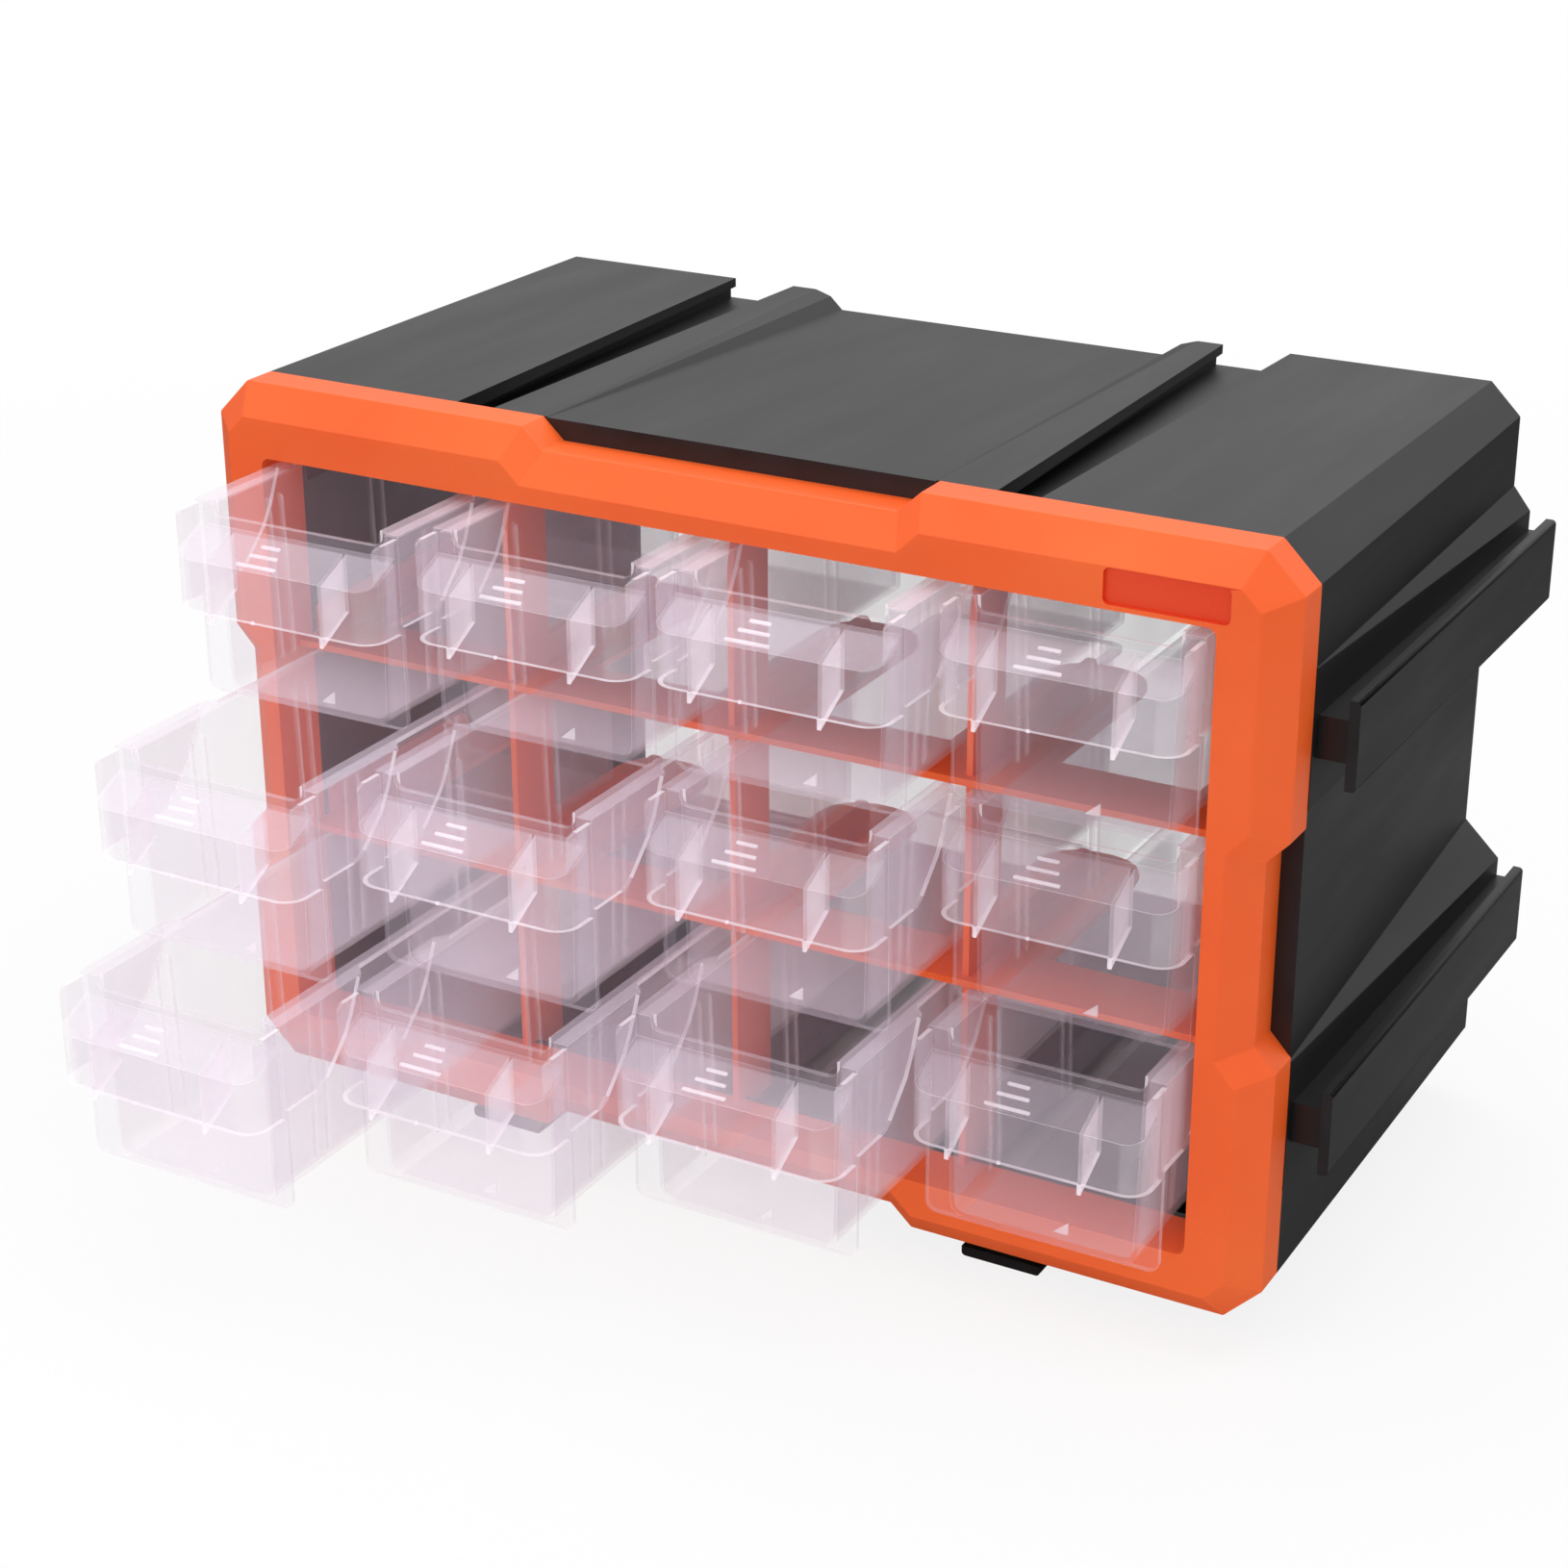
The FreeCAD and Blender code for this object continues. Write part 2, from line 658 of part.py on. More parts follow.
def drawer_hood():
    """Pull: an open shell under a slanted top, with cheeks that stand up at both ends, and two gussets."""
    half = drawer_half_width
    low = drawer_height - hood_lip_drop
    high = drawer_height - hood_cheek_drop
    shell = hood_prism(half, -hood_depth, hood_corner, low, high)
    side = [(-hood_depth, low), (plate_thickness, low), (plate_thickness, high), (-hood_depth, high)]
    cheek = rounded(side, [0, 0, 0, hood_cheek_radius], lambda y, z: v(-half - 1, y, z))
    shell = shell.common(Part.Face(cheek).extrude(v(2 * half + 2, 0, 0)))
    inner = half - hood_wall
    shell = shell.cut(above_slant(inner, 0.0))
    hollow = hood_prism(inner, -hood_depth + hood_wall, hood_corner - hood_wall, low - 1, high)
    shell = shell.cut(hollow.cut(above_slant(half + 1, hood_wall)))
    slope = (hood_front_drop - hood_back_drop) / hood_depth
    top = drawer_height - hood_back_drop - hood_wall / 2
    for x in (gusset_left_x, gusset_right_x):
        front = -hood_depth + hood_wall / 2
        points = [(plate_thickness / 2, top), (plate_thickness / 2, drawer_height - gusset_back_drop),
                  (front, drawer_height - gusset_front_drop), (front, top + slope * front)]
        shell = shell.fuse(prism_x(points, x - gusset_thickness / 2, x + gusset_thickness / 2))
    return shell


def slot_ribs():
    """Pairs of upright ribs on the side walls, above the rounded foot, that hold a loose divider."""
    top = drawer_height - slot_rib_drop
    low = tub_foot_radius
    lean_low = tub_taper * low / drawer_height
    lean = tub_taper * (top - low) / drawer_height
    ribs = []
    for centre in (slot_near_y, slot_far_y):
        for offset in (-slot_rib_pitch / 2, slot_rib_pitch / 2):
            y0 = centre + offset - slot_rib_width / 2
            for sign in (-1, 1):
                wall = sign * (tub_half_width - tub_taper + lean_low - tub_wall / 2)
                face = wall - sign * (tub_wall / 2 + slot_rib_depth)
                points = [(wall, low), (face, low), (face + sign * lean, top - slot_rib_depth),
                          (wall + sign * lean, top)]
                ribs.append(prism_y(points, y0, y0 + slot_rib_width))
    return ribs


def make_drawer():
    drawer = tub_body(0.0, 0.0, drawer_height).fuse(drawer_rim())
    drawer = drawer.cut(tub_body(tub_wall, plate_thickness, drawer_height))
    keep = drawer_height - plate_dip_depth
    dip = plate_dip_half_width
    drawer = drawer.cut(box(-dip, dip, -1, plate_thickness, keep, drawer_height + 1))
    drawer = drawer.fuse(drawer_plate())
    for sign in (-1, 1):
        drawer = drawer.fuse(drawer_skirt(sign))
    drawer = drawer.fuse(drawer_hood())
    for rib in slot_ribs():
        drawer = drawer.fuse(rib)
    return drawer.removeSplitter()


def export(shape, node):
    moved = shape.copy()
    moved.translate(part_shift)
    solid = moved.Solids[0] if len(moved.Solids) == 1 else moved
    solid.exportStep("parts/" + node + ".step")
    volume = round(moved.Volume / 1000, 1)
    print(node, "solids", len(moved.Solids), "valid", moved.isValid(), "volume", volume, "cm3")


def main():
    os.makedirs("parts", exist_ok=True)
    shell, channels = make_housing_parts()
    export(shell, "housing")
    for name, channel in zip(channel_names, channels):
        export(channel, name)
    export(make_frame(), "front_frame")
    for row in range(1, rows):
        name = "shelf_lower" if row == 1 else "shelf_upper"
        export(make_shelf(frame_margin + row * row_pitch), name)
    for index, name in enumerate(("post_left", "post_middle", "post_right"), start=1):
        export(make_post(index), name)
    drawer = make_drawer()
    for row in range(rows):
        for column in range(columns):
            copy = drawer.copy()
            middle = column_line(column) + column_pitch / 2
            floor = frame_margin + (rows - 1 - row) * row_pitch
            copy.translate(v(middle, drawer_front_y - drawer_pulls[row][column], floor + drawer_floor_gap))
            export(copy, "drawer_" + str(row + 1) + "_" + str(column + 1))


main()
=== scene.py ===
import math

import bmesh
import bpy
from mathutils import Matrix, Vector


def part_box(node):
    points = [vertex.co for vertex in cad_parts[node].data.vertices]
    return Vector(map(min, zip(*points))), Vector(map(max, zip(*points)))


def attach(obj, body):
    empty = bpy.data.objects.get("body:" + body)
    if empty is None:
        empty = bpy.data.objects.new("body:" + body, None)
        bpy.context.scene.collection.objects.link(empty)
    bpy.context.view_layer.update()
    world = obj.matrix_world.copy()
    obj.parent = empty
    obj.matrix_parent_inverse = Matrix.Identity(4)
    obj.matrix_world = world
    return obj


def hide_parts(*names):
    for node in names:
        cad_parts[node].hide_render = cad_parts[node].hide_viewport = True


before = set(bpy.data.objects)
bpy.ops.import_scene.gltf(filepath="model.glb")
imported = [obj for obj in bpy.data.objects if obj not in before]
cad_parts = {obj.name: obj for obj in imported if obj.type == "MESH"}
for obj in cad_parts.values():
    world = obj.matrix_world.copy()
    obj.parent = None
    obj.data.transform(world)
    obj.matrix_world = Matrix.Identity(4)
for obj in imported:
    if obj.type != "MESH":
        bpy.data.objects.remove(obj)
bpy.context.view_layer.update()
mm = 0.001

rows, columns = 3, 4
drawerNames = [f"drawer_{row + 1}_{column + 1}" for row in range(rows) for column in range(columns)]
housingNodes = ["housing", "channel_top_left", "channel_top_right",
                "channel_left_lower", "channel_left_upper"]
orangeParts = ["shelf_lower", "shelf_upper", "post_left", "post_middle", "post_right"]


# Colours and nodes

def srgb(hexText):
    parts = [int(hexText[i:i + 2], 16) / 255 for i in (1, 3, 5)]
    linear = [c / 12.92 if c <= 0.04045 else ((c + 0.055) / 1.055) ** 2.4 for c in parts]
    return (*linear, 1.0)


def addNode(tree, kind, settings=None, inputs=None, links=None):
    # Sockets go by name, or by number where several have the same name.
    node = tree.nodes.new(kind)
    for name, value in (settings or {}).items():
        setattr(node, name, value)
    for name, value in (inputs or {}).items():
        node.inputs[name].default_value = value
    for name, source in (links or {}).items():
        tree.links.new(source, node.inputs[name])
    return node


def newMaterial(name):
    material = bpy.data.materials.new(name)
    material.use_nodes = True
    tree = material.node_tree
    tree.nodes.clear()
    return material, tree


def setStops(ramp, stops):
    elements = ramp.color_ramp.elements
    for element, (position, colour) in zip(elements, stops):
        element.position = position
        element.color = colour
    return ramp


def finishMaterial(tree, shader):
    addNode(tree, "ShaderNodeOutputMaterial", links={"Surface": shader.outputs[0]})


# What all the polypropylene shares. Most of a noise pattern's values lie in noiseRange.
polypropyleneIor = 1.49
noiseRange = {"From Min": 0.3, "From Max": 0.7}


def sparkTexture(tree, place, values):
    # The mould's spark texture is finer than this on the real one, and drawn as coarse as it needs to show.
    grain = addNode(tree, "ShaderNodeTexNoise", links={"Vector": place.outputs["Object"]},
                    inputs={"Scale": 1 / values["grain"], "Detail": 2.0})
    return addNode(tree, "ShaderNodeBump", links={"Height": grain.outputs["Fac"]},
                   inputs={"Strength": values["grainStrength"], "Distance": values["grainDepth"]})


blackPlastic = {
    "base": "#141416", "baseTo": 0.35, "flow": "#1D1D20", "flowFrom": 0.7, "roughness": (0.36, 0.5),
    "specular": 0.5, "flowWidth": 26 * mm, "flowLength": 170 * mm, "flowDetail": 3.0, "flowBreakup": 0.55,
    "grain": 0.8 * mm, "grainStrength": 0.25, "grainDepth": 0.02 * mm,
}


def mouldedBlackPolypropylene():
    # Injection moulded: a low sheen, faint flow streaks from front to back and a fine spark texture.
    values = blackPlastic
    material, tree = newMaterial("moulded_black_polypropylene")
    place = addNode(tree, "ShaderNodeTexCoord")
    across, along = 1 / values["flowWidth"], 1 / values["flowLength"]
    smoothest, roughest = values["roughness"]
    stretch = addNode(tree, "ShaderNodeMapping", links={"Vector": place.outputs["Object"]},
                      inputs={"Scale": (across, along, across)})
    flow = addNode(tree, "ShaderNodeTexNoise", links={"Vector": stretch.outputs[0]},
                   inputs={"Scale": 1.0, "Detail": values["flowDetail"], "Roughness": values["flowBreakup"]})
    tint = setStops(addNode(tree, "ShaderNodeValToRGB", links={"Fac": flow.outputs["Fac"]}),
                    [(values["baseTo"], srgb(values["base"])), (values["flowFrom"], srgb(values["flow"]))])
    sheen = addNode(tree, "ShaderNodeMapRange", links={"Value": flow.outputs["Fac"]},
                    inputs={**noiseRange, "To Min": smoothest, "To Max": roughest})
    bump = sparkTexture(tree, place, values)
    shader = addNode(tree, "ShaderNodeBsdfPrincipled",
                     inputs={"IOR": polypropyleneIor, "Specular IOR Level": values["specular"]},
                     links={"Base Color": tint.outputs["Color"], "Roughness": sheen.outputs[0],
                            "Normal": bump.outputs[0]})
    finishMaterial(tree, shader)
    return material


orangePlastic = {
    "base": "#FF6A24", "baseFrom": 0.7, "deep": "#FC601C", "deepTo": 0.3, "roughness": (0.4, 0.52),
    "glow": 0.12, "glowDepth": 2 * mm, "glowSpread": (1.0, 0.35, 0.15), "cloud": 60 * mm,
    "grain": 0.8 * mm, "grainStrength": 0.25, "grainDepth": 0.02 * mm,
}
polishedRecess = {
    **orangePlastic, "base": "#F2481A", "deep": "#EE4318", "roughness": (0.25, 0.32),
    "grainDepth": 0.004 * mm,
}


def mouldedOrangePolypropylene(name, values):
    # Injection moulded and dyed through: satin, with a soft glow and slight clouding of the dye.
    material, tree = newMaterial(name)
    place = addNode(tree, "ShaderNodeTexCoord")
    smoothest, roughest = values["roughness"]
    cloud = addNode(tree, "ShaderNodeTexNoise", links={"Vector": place.outputs["Object"]},
                    inputs={"Scale": 1 / values["cloud"], "Detail": 2.0})
    tint = setStops(addNode(tree, "ShaderNodeValToRGB", links={"Fac": cloud.outputs["Fac"]}),
                    [(values["deepTo"], srgb(values["deep"])), (values["baseFrom"], srgb(values["base"]))])
    sheen = addNode(tree, "ShaderNodeMapRange", links={"Value": cloud.outputs["Fac"]},
                    inputs={**noiseRange, "To Min": smoothest, "To Max": roughest})
    bump = sparkTexture(tree, place, values)
    shader = addNode(tree, "ShaderNodeBsdfPrincipled",
                     inputs={"IOR": polypropyleneIor, "Subsurface Weight": values["glow"],
                             "Subsurface Scale": values["glowDepth"],
                             "Subsurface Radius": values["glowSpread"]},
                     links={"Base Color": tint.outputs["Color"], "Roughness": sheen.outputs[0],
                            "Normal": bump.outputs[0]})
    finishMaterial(tree, shader)
    return material


# A wall has alphaFlat seen square on and alphaEdge at a grazing angle. Its glow is a painted glow: an
# emission that brightens the plastic as if lit.
clearPlastic = {
    "base": "#EADFEC", "glow": 0.04, "roughness": 0.16, "shade": 0.15, "facing": 0.3, "facingFrom": 0.12,
    "haze": 45 * mm, "hazeSpread": (0.85, 1.15), "edgeHaze": 15 * mm, "edgeSpread": (0.8, 1.2),
}
clearWall = {"alphaFlat": 0.034, "alphaEdge": 0.7}
clearPull = {"alphaFlat": 0.105, "alphaEdge": 0.72}
# Edges, ends of walls, gussets and roundings: whiter plastic whose glow is a painted glow, an emission that
# brightens them although they are no lamp.
clearEdge = {"base": "#FFFAFD", "alpha": 0.9, "glow": 0.55}
clearEnd = {"base": "#FBF3FA", "alpha": 0.5, "glow": 0.16}
clearGusset = {"base": "#FBF3FA", "alpha": 0.34, "glow": 0.16}
clearRounding = {"base": "#F7EEF6", "alpha": 0.15, "glow": 0.05}


def milkyHaze(tree, size, low, high):
    # Moulded clear plastic is a little cloudier in some places than in others.
    place = addNode(tree, "ShaderNodeTexCoord")
    haze = addNode(tree, "ShaderNodeTexNoise", links={"Vector": place.outputs["Object"]},
                   inputs={"Scale": 1 / size, "Detail": 2.0})
    return addNode(tree, "ShaderNodeMapRange", links={"Value": haze.outputs["Fac"]},
                   inputs={**noiseRange, "To Min": low, "To Max": high})


def finishClear(tree, values, alpha):
    # Milky walls scatter light onwards, so their shadows are fainter than the walls look.
    path = addNode(tree, "ShaderNodeLightPath")
    part = addNode(tree, "ShaderNodeMapRange", links={"Value": path.outputs["Is Shadow Ray"]},
                   inputs={"To Min": 1.0, "To Max": clearPlastic["shade"]})
    lighter = addNode(tree, "ShaderNodeMath", settings={"operation": "MULTIPLY"},
                      links={0: alpha.outputs[0], 1: part.outputs[0]})
    colour = srgb(values["base"])
    # The emission is painted light: the plastic glows by its glow value although it is no lamp.
    shader = addNode(tree, "ShaderNodeBsdfPrincipled",
                     inputs={"Base Color": colour, "Roughness": clearPlastic["roughness"],
                             "IOR": polypropyleneIor, "Emission Color": colour,
                             "Emission Strength": values["glow"]},
                     links={"Alpha": lighter.outputs[0]})
    finishMaterial(tree, shader)


def mouldedClearPolypropylene(name, share):
    # Unfilled polypropylene: milky clear, whiter where a wall is seen along its length, with a faint painted
    # glow.
    values = clearPlastic
    material, tree = newMaterial(name)
    facing = addNode(tree, "ShaderNodeLayerWeight", inputs={"Blend": values["facing"]})
    edge = addNode(tree, "ShaderNodeMapRange", links={"Value": facing.outputs["Facing"]},
                   inputs={"From Min": values["facingFrom"], "From Max": 1.0, "To Min": share["alphaFlat"],
                           "To Max": share["alphaEdge"]})
    uneven = milkyHaze(tree, values["haze"], *values["hazeSpread"])
    alpha = addNode(tree, "ShaderNodeMath", settings={"operation": "MULTIPLY", "use_clamp": True},
                    links={0: edge.outputs[0], 1: uneven.outputs[0]})
    finishClear(tree, values, alpha)
    return material


def paintedGlowPlastic(name, values):
    # The same plastic at rounded edges, ribs and the ends of walls, denser and whiter, with a painted glow
    # that stands in for the light these walls carry to their edges.
    material, tree = newMaterial(name)
    low, high = [min(values["alpha"] * share, 1.0) for share in clearPlastic["edgeSpread"]]
    finishClear(tree, values, milkyHaze(tree, clearPlastic["edgeHaze"], low, high))
    return material


# Pieces

def dress(piece, *materials):
    for material in materials:
        piece.data.materials.append(material)


def newPiece(work, name, materials, body):
    mesh = bpy.data.meshes.new(name)
    work.to_mesh(mesh)
    work.free()
    piece = bpy.data.objects.new(name, mesh)
    bpy.context.scene.collection.objects.link(piece)
    dress(piece, *materials)
    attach(piece, body)
    return piece


# Points nearer than weld are one point. Edges whose faces meet at less than smoothBelow degrees are smooth.
weld = 0.002 * mm
smoothBelow = 35


def roundEdges(work, low, high, width, segments):
    # Rounds the edges whose faces meet at an angle between low and high degrees.
    chosen = [edge for edge in work.edges if len(edge.link_faces) == 2
              and math.radians(low) < edge.calc_face_angle(0.0) <= math.radians(high)]
    return bmesh.ops.bevel(work, geom=chosen, affect="EDGES", offset=width * mm, offset_type="OFFSET",
                           segments=segments, profile=0.5, material=-1, clamp_overlap=True)["faces"]


def mergedCopy(nodeName):
    # The CAD mesh is loose triangles, so a copy is merged before anything else is done with it.
    work = bmesh.new()
    work.from_mesh(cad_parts[nodeName].data)
    bmesh.ops.remove_doubles(work, verts=work.verts, dist=weld)
    mesh = bpy.data.meshes.new(nodeName + "_copy")
    work.to_mesh(mesh)
    work.free()
    return mesh


def joinedCopy(nodeNames):
    # Nodes that are one moulding on the real product become one closed mesh.
    if len(nodeNames) == 1:
        return mergedCopy(nodeNames[0])
    parts = [bpy.data.objects.new("joining", mergedCopy(name)) for name in nodeNames]
    for part in parts:
        bpy.context.scene.collection.objects.link(part)
    for part in parts[1:]:
        union = parts[0].modifiers.new("union", "BOOLEAN")
        union.operation = "UNION"
        union.solver = "EXACT"
        union.object = part
    ready = parts[0].evaluated_get(bpy.context.evaluated_depsgraph_get())
    joined = bpy.data.meshes.new_from_object(ready)
    for part in parts:
        bpy.data.objects.remove(part)
    return joined


# The slots of a drawer's materials, in the order of drawerMaterials
wallSlot, edgeSlot, endSlot, roundingSlot, pullSlot, gussetSlot = range(6)

# Which of a drawer's faces get which material, in mm and degrees. Faces narrower than thin are ends of walls
# where corners run along cornerShare of their outline, and otherwise strips of roundings.
drawerZones = {
    "flat": 1, "corner": 60, "cornerShare": 0.8, "thin": 1.7,
    "pullDepth": 14.6, "gussetReach": 28.0, "gussetFacing": 0.95,
    "tubFrom": 18.0, "tubReach": 31.2, "tubDrop": 3.0, "tubFloor": 2.5,
}


def flatRegions(work):
    # The flat faces that the loose triangles make up.
    flat = math.radians(drawerZones["flat"])
    seen = set()
    for start in work.faces:
        if start in seen:
            continue
        seen.add(start)
        region = [start]
        for face in region:
            for edge in face.edges:
                for other in edge.link_faces:
                    if other not in seen and edge.calc_face_angle(0.0) < flat:
                        seen.add(other)
                        region.append(other)
        yield region


def markThinFaces(work):
    sharp = math.radians(drawerZones["corner"])
    for region in flatRegions(work):
        inside = set(region)
        area = sum(face.calc_area() for face in region)
        border = [edge for face in region for edge in face.edges
                  if sum(other in inside for other in edge.link_faces) == 1]
        outline = sum(edge.calc_length() for edge in border)
        corners = sum(edge.calc_length() for edge in border if edge.calc_face_angle(0.0) > sharp)
        if 2 * area / outline < drawerZones["thin"] * mm:
            cornered = corners > drawerZones["cornerShare"] * outline
            for face in region:
                face.material_index = endSlot if cornered else roundingSlot


def markPull(work, low, high):
    # The pull stands before the drawer's plate, with two gussets across it. Both are milkier than the tub,
    # and the gussets also carry a painted glow.
    middle = (low[0] + high[0]) / 2
    plate, reach = low[1] + drawerZones["pullDepth"] * mm, drawerZones["gussetReach"] * mm
    for face in work.faces:
        centre = face.calc_center_median()
        if centre.y < plate and face.material_index == wallSlot:
            across = abs(face.normal.x) > drawerZones["gussetFacing"] and abs(centre.x - middle) < reach
            face.material_index = gussetSlot if across else pullSlot


def quietTub(work, low, high):
    # The painted glow of the white lines along edges and the ends of walls is weaker inside the tub, where
    # these faces take the rounding material.
    middle = (low[0] + high[0]) / 2
    front, reach = low[1] + drawerZones["tubFrom"] * mm, drawerZones["tubReach"] * mm
    floor, top = low[2] + drawerZones["tubFloor"] * mm, high[2] - drawerZones["tubDrop"] * mm
    for face in work.faces:
        x, y, z = face.calc_center_median()
        inside = y > front and abs(x - middle) < reach and floor < z < top
        if inside and face.material_index in (edgeSlot, endSlot):
            face.material_index = roundingSlot


def softenNodes(nodeNames, name, rounds, materials, body):
    # A copy of the nodes with its edges rounded as the mould leaves them. Drawers alone have many materials.
    work = bmesh.new()
    work.from_mesh(joinedCopy(nodeNames))
    isDrawer = len(materials) > 1
    for face in work.faces:
        face.material_index = wallSlot
    if isDrawer:
        markThinFaces(work)
        markPull(work, *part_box(nodeNames[0]))
    rounded = []
    for low, high, width, segments in rounds:
        rounded += roundEdges(work, low, high, width, segments)
    for face in work.faces:
        face.smooth = True
    if isDrawer:
        # Rounded drawer edges take the edge material, with its whiter colour and painted glow.
        for face in rounded:
            if face.is_valid:
                face.material_index = edgeSlot
        quietTub(work, *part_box(nodeNames[0]))
    for edge in work.edges:
        edge.smooth = edge.calc_face_angle(0.0) < math.radians(smoothBelow)
    piece = newPiece(work, name, materials, body)
    weighted = piece.modifiers.new("weighted", "WEIGHTED_NORMAL")
    weighted.keep_sharp = True
    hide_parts(*nodeNames)
    print(name, len(piece.data.polygons), "faces")
    return piece


# The bare label recess in the frame's upper right, in mm
labelRecess = {"x": (125.0, 165.1), "z": (240.6, 252.8)}


def polishRecess(piece):
    # The recess left for a label is smooth, so it shows deeper than the satin round it.
    piece.data.materials.append(polishedOrange)
    (left, right), (bottom, top) = labelRecess["x"], labelRecess["z"]
    for face in piece.data.polygons:
        x, y, z = face.center / mm
        if left < x < right and bottom < z < top:
            face.material_index = len(piece.data.materials) - 1


black = mouldedBlackPolypropylene()
orange = mouldedOrangePolypropylene("moulded_orange_polypropylene", orangePlastic)
polishedOrange = mouldedOrangePolypropylene("polished_orange_polypropylene", polishedRecess)
clear = mouldedClearPolypropylene("moulded_clear_polypropylene", clearWall)
clearGrip = mouldedClearPolypropylene("clear_polypropylene_pull", clearPull)
# The edge, end, gusset and rounding plastics carry a painted glow.
clearEdges = paintedGlowPlastic("clear_polypropylene_edge", clearEdge)
clearEnds = paintedGlowPlastic("clear_polypropylene_end", clearEnd)
clearGussets = paintedGlowPlastic("clear_polypropylene_gusset", clearGusset)
clearRoundings = paintedGlowPlastic("clear_polypropylene_rounding", clearRounding)
drawerMaterials = [clear, clearEdges, clearEnds, clearRoundings, clearGrip, clearGussets]
print("materials made")

# Degrees between which edges are rounded, width in mm, segments
housingRounds = [(8, 60, 1.6, 3), (60, 180, 0.35, 2)]
frameRounds = [(12, 60, 3.2, 4), (60, 180, 0.6, 2)]
innerRounds = [(40, 180, 0.3, 2)]
drawerRounds = [(40, 180, 0.55, 1)]

softenNodes(housingNodes, "black_housing", housingRounds, [black], "cabinet")
frontPiece = softenNodes(["front_frame"], "orange_frame", frameRounds, [orange], "cabinet")
polishRecess(frontPiece)
for node in orangeParts:
    softenNodes([node], "orange_" + node, innerRounds, [orange], "cabinet")
for node in drawerNames:
    softenNodes([node], "clear_" + node, drawerRounds, drawerMaterials, node)
print("mouldings rounded")


# Small features moulded on each drawer, in mm from its middle, the plate's front and its underside.
# A bar is its length and its place along the pull's slanted top.
drawerMarks = {
    "pullDepth": 15.0, "height": 64.8, "slantTop": 7.8, "slantFall": 7.0,
    "barMiddle": -6.2, "bars": [(7.4, -4.9), (10.8, -8.8), (15.2, -12.9)], "barSize": (1.3, 0.9),
    "barRounding": 0.38, "fin": (4.5, 5.5), "finSize": (5.0, 0.9, 4.2), "finRounding": 0.2, "floor": 1.3,
    "pip": -8.0, "pipRadius": 0.7, "pipInset": 0.8, "lipDrop": 32.3,
}


def roundBlock(work, verts, rounding, segments):
    edges = [edge for edge in work.edges if edge.verts[0] in verts]
    bmesh.ops.bevel(work, geom=edges, affect="EDGES", offset=rounding * mm, segments=segments, profile=0.5,
                    material=-1)


def addBar(work, centre, size, tilt, rounding):
    turn = Matrix.Translation(Vector(centre) * mm) @ Matrix.Rotation(tilt, 4, "X")
    made = bmesh.ops.create_cube(work, size=1.0, matrix=turn @ Matrix.Diagonal((*(Vector(size) * mm), 1.0)))
    roundBlock(work, made["verts"], rounding, 2)


def addFin(work, place, floor, size, rounding):
    # A small three-cornered fin that stands on the floor, highest at its right end.
    x, y = place
    length, thick, height = size
    corners = [(x - length / 2, floor), (x + length / 2, floor), (x + length / 2, floor + height)]
    front, back = [[work.verts.new((a * mm, (y + side * thick / 2) * mm, b * mm)) for a, b in corners]
                   for side in (-1, 1)]
    faces = [work.faces.new(front), work.faces.new(back[::-1])]
    for i in range(3):
        faces.append(work.faces.new((front[i - 1], back[i - 1], back[i], front[i])))
    bmesh.ops.recalc_face_normals(work, faces=faces)
    roundBlock(work, front + back, rounding, 1)


def addDrawerMarks(node):
    values = drawerMarks
    low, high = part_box(node)
    work = bmesh.new()
    slope = math.atan2(values["slantFall"], values["pullDepth"])
    for length, y in values["bars"]:
        z = values["height"] - values["slantTop"] + y * math.tan(slope)
        addBar(work, (values["barMiddle"], y, z), (length, *values["barSize"]), slope, values["barRounding"])
    addFin(work, values["fin"], values["floor"], values["finSize"], values["finRounding"])
    pip = (values["pip"], values["pipInset"] - values["pullDepth"], values["height"] - values["lipDrop"])
    bmesh.ops.create_icosphere(work, subdivisions=2, radius=values["pipRadius"] * mm,
                               matrix=Matrix.Translation(Vector(pip) * mm))
    for face in work.faces:
        face.smooth = True
    middle = Vector(((low[0] + high[0]) / 2, low[1] + values["pullDepth"] * mm, low[2]))
    bmesh.ops.translate(work, verts=work.verts, vec=middle)
    # The marks take the gusset material, whiter and with a painted glow.
    newPiece(work, "marks_" + node, [clearGussets], node)


for node in drawerNames:
    addDrawerMarks(node)
print("drawer marks added")


# Floor, light and camera. A lamp is its name, its size and power in metres and watts, and its place.
studio = {
    "lamps": [("top_light", (1.6, 1.2), 15.0, (0.1, 0.2, 1.6)),
              ("front_light", (1.4, 1.0), 5.5, (-0.5, -1.5, 0.9)),
              ("side_light", (0.8, 0.8), 0.7, (1.6, -0.6, 0.8))],
    "aim": (0, 0, 0.1), "worldLight": 0.62, "ceilingFrom": 0.38, "sideGlow": 0.1,
    "floorColour": "#F2F2F2", "floorMirror": 0.3, "floorSize": 4.0, "floorGlow": 0.85,
    "fadeStart": 0.55, "fadeEnd": 1.25,
}


def softBox(name, size, power, position, target):
    data = bpy.data.lights.new(name, "AREA")
    data.shape = "RECTANGLE"
    data.size, data.size_y = size
    data.energy = power
    lamp = bpy.data.objects.new(name, data)
    bpy.context.scene.collection.objects.link(lamp)
    aim = Vector(target) - Vector(position)
    lamp.matrix_world = Matrix.Translation(position) @ aim.to_track_quat("-Z", "Y").to_matrix().to_4x4()
    lamp.visible_camera = False


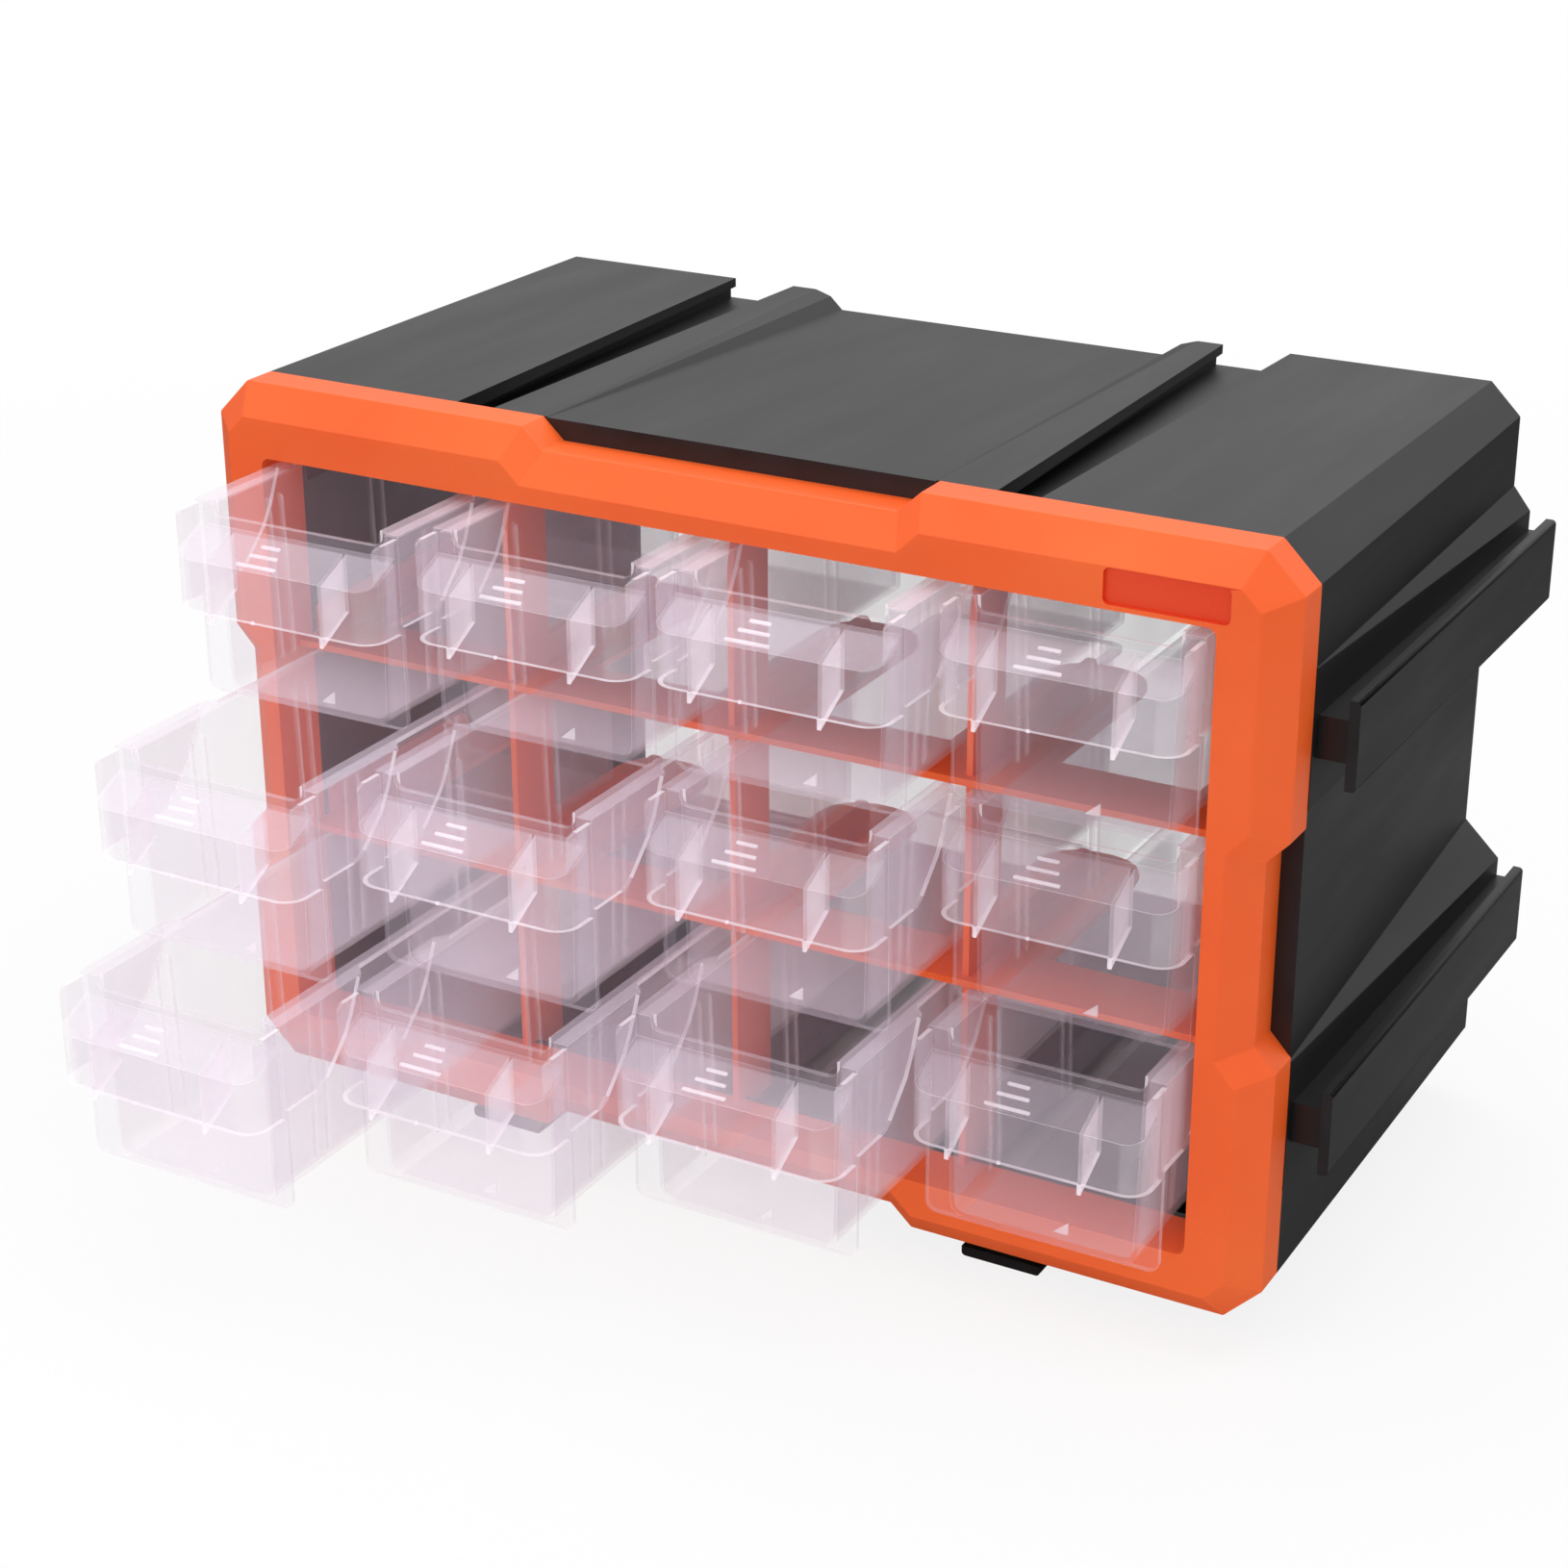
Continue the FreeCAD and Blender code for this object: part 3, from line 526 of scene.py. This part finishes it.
def whiteWorld(values):
    # Plain white wherever the camera looks past the object. Reflections find it bright above and dim at the
    # sides, as in a studio lit from overhead.
    world = bpy.data.worlds.new("studio")
    bpy.context.scene.world = world
    world.use_nodes = True
    tree = world.node_tree
    tree.nodes.clear()
    path = addNode(tree, "ShaderNodeLightPath")
    place = addNode(tree, "ShaderNodeTexCoord")
    axes = addNode(tree, "ShaderNodeSeparateXYZ", links={"Vector": place.outputs["Generated"]})
    ceiling = addNode(tree, "ShaderNodeMapRange", settings={"interpolation_type": "SMOOTHSTEP"},
                      links={"Value": axes.outputs["Z"]},
                      inputs={"From Max": values["ceilingFrom"], "To Min": values["sideGlow"], "To Max": 1.0})
    indirect = addNode(tree, "ShaderNodeMapRange",
                       links={"Value": path.outputs["Is Glossy Ray"], "To Max": ceiling.outputs[0]},
                       inputs={"To Min": values["worldLight"]})
    seen = addNode(tree, "ShaderNodeMath", settings={"operation": "MAXIMUM"},
                   links={0: path.outputs["Is Camera Ray"], 1: path.outputs["Is Transmission Ray"]})
    strength = addNode(tree, "ShaderNodeMapRange", inputs={"To Max": 1.0},
                       links={"Value": seen.outputs[0], "To Min": indirect.outputs[0]})
    sky = addNode(tree, "ShaderNodeBackground", inputs={"Color": (1, 1, 1, 1)},
                  links={"Strength": strength.outputs[0]})
    addNode(tree, "ShaderNodeOutputWorld", links={"Surface": sky.outputs[0]})


def whitePaper(values):
    # Matt paper that takes the object's shadow, glows white to the camera, is dimmer in reflections and fades
    # out towards the horizon.
    material, tree = newMaterial("white_paper")
    path = addNode(tree, "ShaderNodeLightPath")
    place = addNode(tree, "ShaderNodeTexCoord")
    bright = srgb(values["floorColour"])
    dim = (*(c * values["floorMirror"] for c in bright[:3]), 1.0)
    # Sockets 6 and 7 of this mix are its two colours, and output 2 is the colour mixed from them
    mirrored = addNode(tree, "ShaderNodeMix", settings={"data_type": "RGBA"}, inputs={6: bright, 7: dim},
                       links={0: path.outputs["Is Glossy Ray"]})
    paper = addNode(tree, "ShaderNodeBsdfDiffuse", links={"Color": mirrored.outputs[2]})
    glow = addNode(tree, "ShaderNodeMath", settings={"operation": "MULTIPLY"},
                   inputs={1: values["floorGlow"]}, links={0: path.outputs["Is Camera Ray"]})
    lit = addNode(tree, "ShaderNodeEmission", inputs={"Color": (1, 1, 1, 1), "Strength": 1.0})
    mixed = addNode(tree, "ShaderNodeMixShader",
                    links={"Fac": glow.outputs[0], 1: paper.outputs[0], 2: lit.outputs[0]})
    distance = addNode(tree, "ShaderNodeVectorMath", settings={"operation": "LENGTH"},
                       links={"Vector": place.outputs["Object"]})
    fade = addNode(tree, "ShaderNodeMapRange", settings={"interpolation_type": "SMOOTHSTEP"},
                   links={"Value": distance.outputs["Value"]},
                   inputs={"From Min": values["fadeStart"], "From Max": values["fadeEnd"]})
    clearAir = addNode(tree, "ShaderNodeBsdfTransparent")
    faded = addNode(tree, "ShaderNodeMixShader",
                    links={"Fac": fade.outputs[0], 1: mixed.outputs[0], 2: clearAir.outputs[0]})
    finishMaterial(tree, faded)
    return material


def buildStudio():
    values = studio
    whiteWorld(values)
    for lamp in values["lamps"]:
        softBox(*lamp, values["aim"])
    work = bmesh.new()
    bmesh.ops.create_grid(work, x_segments=1, y_segments=1, size=values["floorSize"] / 2)
    floorMesh = bpy.data.meshes.new("floor")
    work.to_mesh(floorMesh)
    work.free()
    floor = bpy.data.objects.new("floor", floorMesh)
    bpy.context.scene.collection.objects.link(floor)
    dress(floor, whitePaper(values))


# Angles in radians, lens and sensor in mm
camera = {
    "position": (465.84 * mm, -827.1 * mm, 549.5 * mm), "azimuth": 0.51434, "elevation": 0.40345,
    "roll": -0.00417, "lens": 73.1, "sensor": 36.0,
}


def placeCamera():
    values = camera
    data = bpy.data.cameras.new("camera")
    data.lens = values["lens"]
    data.sensor_width = values["sensor"]
    data.sensor_fit = "AUTO"
    holder = bpy.data.objects.new("camera", data)
    bpy.context.scene.collection.objects.link(holder)
    heading = Matrix.Rotation(values["azimuth"], 4, "Z")
    turn = heading @ Matrix.Rotation(math.pi / 2 - values["elevation"], 4, "X")
    roll = Matrix.Rotation(values["roll"], 4, "Z")
    holder.matrix_world = Matrix.Translation(values["position"]) @ turn @ roll
    bpy.context.scene.camera = holder


# A look through the drawers passes many clear walls in line
wallsInLine = 64

buildStudio()
placeCamera()
bpy.context.scene.view_settings.view_transform = "Standard"
bpy.context.scene.cycles.transparent_max_bounces = wallsInLine
print("studio and camera placed")
